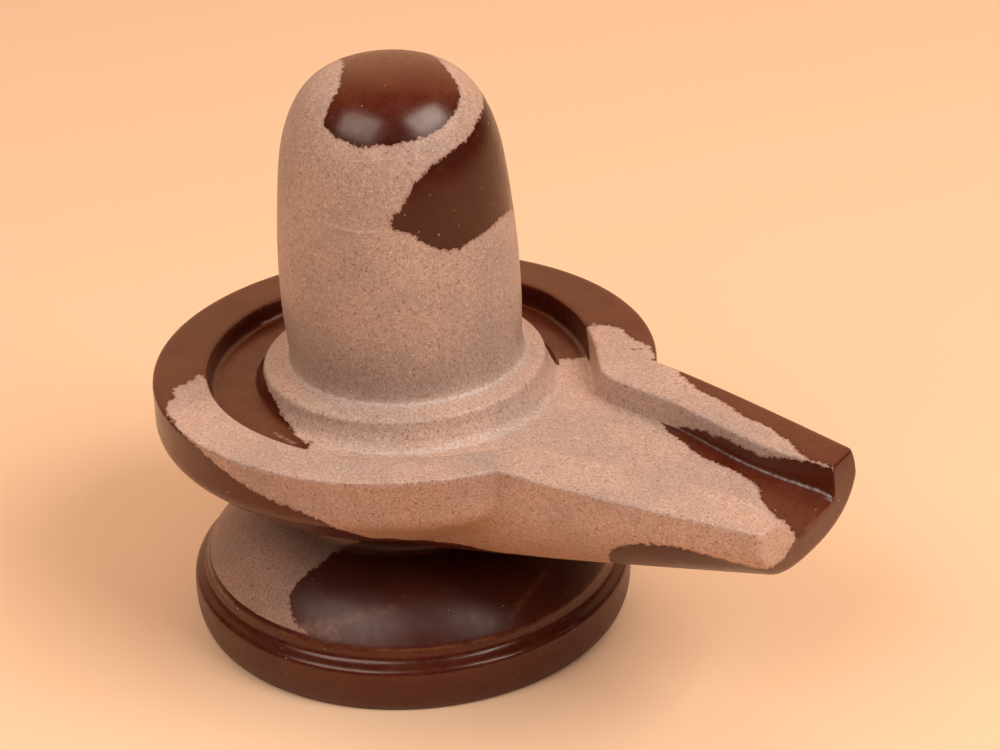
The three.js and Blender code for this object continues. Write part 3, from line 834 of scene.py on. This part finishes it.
def stroke(distance, width, strength, patchy=2.0):
    """A soft stroke of the width given in mm, with a wandering edge, that comes and goes over the
    patchy length in mm."""
    wander = reckon("SUBTRACT", grains(max(0.8, width), 2.0), 0.5)
    distance = reckon("MULTIPLY_ADD", wander, 1.2 * width, distance)
    uneven = ramp(grains(patchy, 2.0), 0.32, 0.62, 0.25 * strength, strength)
    return reckon("MULTIPLY", ramp(distance, 0.1 * width, 1.1 * width, 1.0, 0.0), uneven)


def painted(name):
    """The amounts kept on the mesh under a name."""
    node = tree.nodes.new("ShaderNodeAttribute")
    node.attribute_name = name
    return node.outputs["Fac"]


def multiplied(amount, colour, tint):
    """The colour with that amount of it multiplied by a tint."""
    return blend(amount, colour, blend(1.0, colour, tint, "MULTIPLY"))


def marked(colour, marks):
    """The colour with each mark laid over it in turn."""
    for points, width, strength, tint, *patchy in marks.values():
        colour = blend(stroke(beside(points), width, strength, *patchy), colour, tint)
    return colour


TAN, GREYER_TAN = (0.535, 0.335, 0.250, 1), (0.44, 0.290, 0.228, 1)
RUST_GRAIN, PALE_GRAIN = (0.25, 0.088, 0.05, 1), (0.82, 0.64, 0.53, 1)
# the tint of the painted shade under the dish, and the tint of the greyer lingam
PAINTED_SHADE_TINT, LESS_RED = (0.62, 0.52, 0.47, 1), (0.90, 0.94, 0.96, 1)
DARK, BROWNER_DARK = (0.090, 0.0115, 0.004, 1), (0.110, 0.020, 0.007, 1)
DARK_EDGE, DEEPEST = (0.050, 0.007, 0.0035, 1), (0.030, 0.0035, 0.0015, 1)
RUST_FRINGE, LIP_BROWN = (0.24, 0.07, 0.035, 1), (0.21, 0.072, 0.026, 1)
PINK_HAZE, PALE_VEIN = (0.33, 0.14, 0.10, 1), (0.66, 0.50, 0.40, 1)
DUST = (0.70, 0.63, 0.58, 1)
SATIN, CLOSE_SHINE = (0.44, 0.44, 0.44, 1), (0.25, 0.25, 0.25, 1)  # roughness of the tan and the dark

# Single marks: the places in mm that each joins, its width in mm, its strength and its colour.
TAN_MARKS = {
    "soft vein": ([(0.5, -28.6, 119.2), (4.6, -28.3, 118.5), (10.9, -26.5, 117.8), (15.0, -24.3, 118.1)],
                  0.55, 0.55, PALE_VEIN),
    "smear at the foot": ([(20.6, -21.8, 74.2), (23.4, -19.0, 73.7)], 0.8, 0.35, RUST_GRAIN)}
BELL_MARKS = {
    "low streak": ([(7.5, -53.9, 18.6), (15.3, -52.2, 18.6)], 2.6, 0.32, PINK_HAZE),
    "rising streak": ([(12.5, -51.9, 19.9), (18.7, -47.7, 22.2), (26.0, -41.6, 24.2)],
                      2.4, 0.17, PINK_HAZE),
    "thin vein": ([(48.6, -21.5, 19.1), (48.7, -17.8, 20.7), (48.4, -11.5, 22.8), (47.8, -5.8, 24.2)],
                  1.1, 0.5, LIP_BROWN)}
# A brown line along the bell's lip, and round the neck's foot a painted glow of light reflected up under
# the dish.
LIP_LINE_AND_NECK_GLOW = [(55.0, 16.5, 0.6, 0.65), (32.8, 30.2, 1.0, 0.6)]  # radius, height, width and strength
RING_PATCHY = 6.0
MOUTH_MARKS = {
    "line at the end": ([(120.9, 11.5, 61.2), (121.0, 2.1, 60.7), (121.3, -6.4, 60.3)],
                        0.5, 0.5, LIP_BROWN),
    "crack": ([(-47.7, -15.6, 65.8), (-48.4, -12.7, 65.6), (-48.7, -8.8, 65.6)], 0.3, 0.8, DEEPEST)}
TOP_MARKS = {
    "nick": ([(47.0, 35.5, 70.1), (48.9, 36.8, 70.1)], 0.55, 0.9, DEEPEST),
    "spot": ([(2.2, -40.4, 64.3), (3.4, -40.6, 64.3)], 0.7, 0.9, DARK_EDGE),
    "wisps": ([(-7.5, -42.4, 64.5), (-0.2, -43.3, 64.4)], 0.8, 0.3, TAN, 1.0),  # patchy over 1 mm
    "residue": ([(-50.3, -1.5, 66.0), (-49.6, 6.5, 65.8)], 0.4, 0.5, PALE_VEIN)}

# tan stone: clouds, then speckle at three sizes, rust and pale grains, and its marks
colour = blend(ramp(grains(24, 3.0), 0.38, 0.66), TAN, GREYER_TAN)
value = ramp(grains(0.45, 3.0, 0.7), 0.3, 0.7, 0.80, 1.18)
value = reckon("MULTIPLY", value, ramp(crystals(0.5), 0.0, 1.0, 0.90, 1.08))
value = reckon("MULTIPLY", value, ramp(grains(3.0, 2.0), 0.3, 0.7, 0.95, 1.04))
grey = tree.nodes.new("ShaderNodeCombineColor")
for socket in grey.inputs:
    plug(value, socket)
colour = blend(1.0, colour, grey.outputs[0], "MULTIPLY")
colour = blend(ramp(grains(0.6, 1.0), 0.60, 0.70, 0.0, 0.75), colour, RUST_GRAIN)
colour = blend(ramp(grains(0.75, 1.0), 0.63, 0.74, 0.0, 0.35), colour, PALE_GRAIN)
# painted shade: the tan darkened under the dish, down the arm's sides and on the neck and foot
colour = multiplied(painted("shaded"), colour, PAINTED_SHADE_TINT)
colour = multiplied(painted("greyer"), colour, LESS_RED)
colour = marked(colour, TAN_MARKS)

# dark stone: two sizes of clouds
deep = blend(ramp(grains(11, 3.0), 0.35, 0.65), DARK, BROWNER_DARK)
deep = blend(ramp(grains(1.3, 3.0), 0.48, 0.72, 0.0, 0.6), deep, DARK_EDGE)

# the toothed edge between them: noise of two sizes added to the depth inside the dark
edge = reckon("MULTIPLY_ADD", reckon("SUBTRACT", grains(1.7, 4.0, 0.68), 0.5), 3.4, painted("dark"))
edge = reckon("MULTIPLY_ADD", reckon("SUBTRACT", grains(0.4, 1.0), 0.5), 1.0, edge)
is_dark = ramp(edge, -0.12, 0.16)

# dark stone again: a darker rim, nearer black in places, its marks and pale specks
deep = blend(ramp(edge, 0.1, 1.4, 0.6, 0.0), deep, DARK_EDGE)
# painted shade together with the stone's own depth of colour: the dark taken nearer black under the dish,
# on the neck and bell, and on the cheek
deep = blend(painted("dark_depth_and_shade"), deep, DEEPEST)
deep = marked(deep, BELL_MARKS)
# the lip line, and the painted reflected light round the neck
for radius, height, width, strength in LIP_LINE_AND_NECK_GLOW:
    deep = blend(stroke(beside_ring(radius, height), width, strength, RING_PATCHY), deep, LIP_BROWN)
deep = marked(deep, MOUTH_MARKS)
deep = blend(ramp(grains(0.5, 0.0), 0.875, 0.895), deep, PALE_GRAIN)

# both together: a rust fringe just outside the dark, the marks on top and the dust
colour = blend(ramp(edge, -0.7, -0.05, 0.0, 0.45), colour, RUST_FRINGE)
colour = blend(is_dark, colour, deep)
colour = marked(colour, TOP_MARKS)
dusty = reckon("MULTIPLY", painted("dust"), ramp(grains(0.9, 3.0), 0.3, 0.7, 0.2, 1.0))
colour = blend(dusty, colour, DUST)
plug(colour, shader.inputs["Base Color"])

# the polish: uneven over 3 mm, rougher under dust and where it took less, with a slightly warm shine
gloss = blend(is_dark, SATIN, CLOSE_SHINE)
gloss = reckon("ADD", gloss, ramp(grains(3.0, 3.0), 0.3, 0.7, -0.03, 0.05))
gloss = reckon("MULTIPLY_ADD", dusty, 0.4, gloss)
gloss = reckon("MULTIPLY_ADD", painted("matt"), 0.13, gloss)
plug(gloss, shader.inputs["Roughness"])
shader.inputs["Specular IOR Level"].default_value = 0.5
shader.inputs["Specular Tint"].default_value = (1, 0.84, 0.74, 1)

# and a relief of 0.03 mm: fine grain everywhere, leathery on the dark
relief = tree.nodes.new("ShaderNodeBump")
relief.inputs["Strength"].default_value = 0.35
relief.inputs["Distance"].default_value = 0.00003
leathery = reckon("MULTIPLY", is_dark, reckon("MULTIPLY", grains(1.3, 1.0), 0.6))
plug(reckon("ADD", grains(0.5, 2.0), leathery), relief.inputs["Height"])
plug(relief.outputs[0], shader.inputs["Normal"])
stone.data.materials.append(stone_look)

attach(stone, "root")
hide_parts("shiva_lingam")

# The floor: a plain pale sheet under the stone, far wider than the view.
floor_mesh = bpy.data.meshes.new("floor")
floor_mesh.from_pydata([(-3, -3, 0), (3, -3, 0), (3, 3, 0), (-3, 3, 0)], [], [(0, 1, 2, 3)])
floor = bpy.data.objects.new("floor", floor_mesh)
bpy.context.scene.collection.objects.link(floor)
floor_look = bpy.data.materials.new("pale_floor")
floor_look.use_nodes = True
floor_shader = floor_look.node_tree.nodes["Principled BSDF"]
floor_shader.inputs["Base Color"].default_value = (0.93, 0.58, 0.35, 1)
floor_shader.inputs["Roughness"].default_value = 0.8
floor.data.materials.append(floor_look)


# The light: two large soft boxes above the stone, to its left and right, and a wide sheet straight
# overhead that fills the shadows and shows in no reflection.
AIM = Vector((0.03, 0, 0.07))


def soft_box(name, place, size, power, colour):
    """A rectangular lamp at a place, turned to face the stone."""
    lamp = bpy.data.lights.new(name, "AREA")
    lamp.shape = "RECTANGLE"
    lamp.size, lamp.size_y = size
    lamp.energy = power
    lamp.color = colour
    made = bpy.data.objects.new(name, lamp)
    made.location = place
    made.rotation_euler = (AIM - place).to_track_quat("-Z", "Y").to_euler()
    bpy.context.scene.collection.objects.link(made)
    return made


def toward(azimuth, elevation, distance):
    """The place at a distance in m in the direction of two angles in degrees."""
    a, e = np.radians(azimuth), np.radians(elevation)
    return Vector((np.cos(e) * np.cos(a), np.cos(e) * np.sin(a), np.sin(e))) * distance


soft_box("left_soft_box", toward(-93.5, 48.6, 2.2), (1.5, 1.05), 22.5, (1, 0.97, 0.94))
soft_box("right_soft_box", toward(11.1, 46.3, 2.2), (1.45, 1.0), 38, (1, 0.99, 0.97))
overhead = soft_box("overhead_sheet", Vector((0.03, 0, 3.0)), (3.0, 3.0), 22, (1, 0.97, 0.94))
overhead.visible_glossy = False

# The room: dim all round, with a warm glow behind the stone.
world = bpy.data.worlds.new("room")
world.use_nodes = True
room = world.node_tree
background = room.nodes["Background"]
facing = room.nodes.new("ShaderNodeTexCoord")
behind = room.nodes.new("ShaderNodeVectorMath")
behind.operation = "DOT_PRODUCT"
behind.inputs[1].default_value = (-0.56, 0.71, 0.43)
room.links.new(facing.outputs["Generated"], behind.inputs[0])
glow = room.nodes.new("ShaderNodeMapRange")
glow.interpolation_type = "SMOOTHSTEP"
for name, value in (("From Min", 0.45), ("From Max", 0.9), ("To Min", 0.02), ("To Max", 1.0)):
    glow.inputs[name].default_value = value
room.links.new(behind.outputs["Value"], glow.inputs["Value"])
background.inputs["Color"].default_value = (1, 0.55, 0.3, 1)
room.links.new(glow.outputs[0], background.inputs["Strength"])
bpy.context.scene.world = world
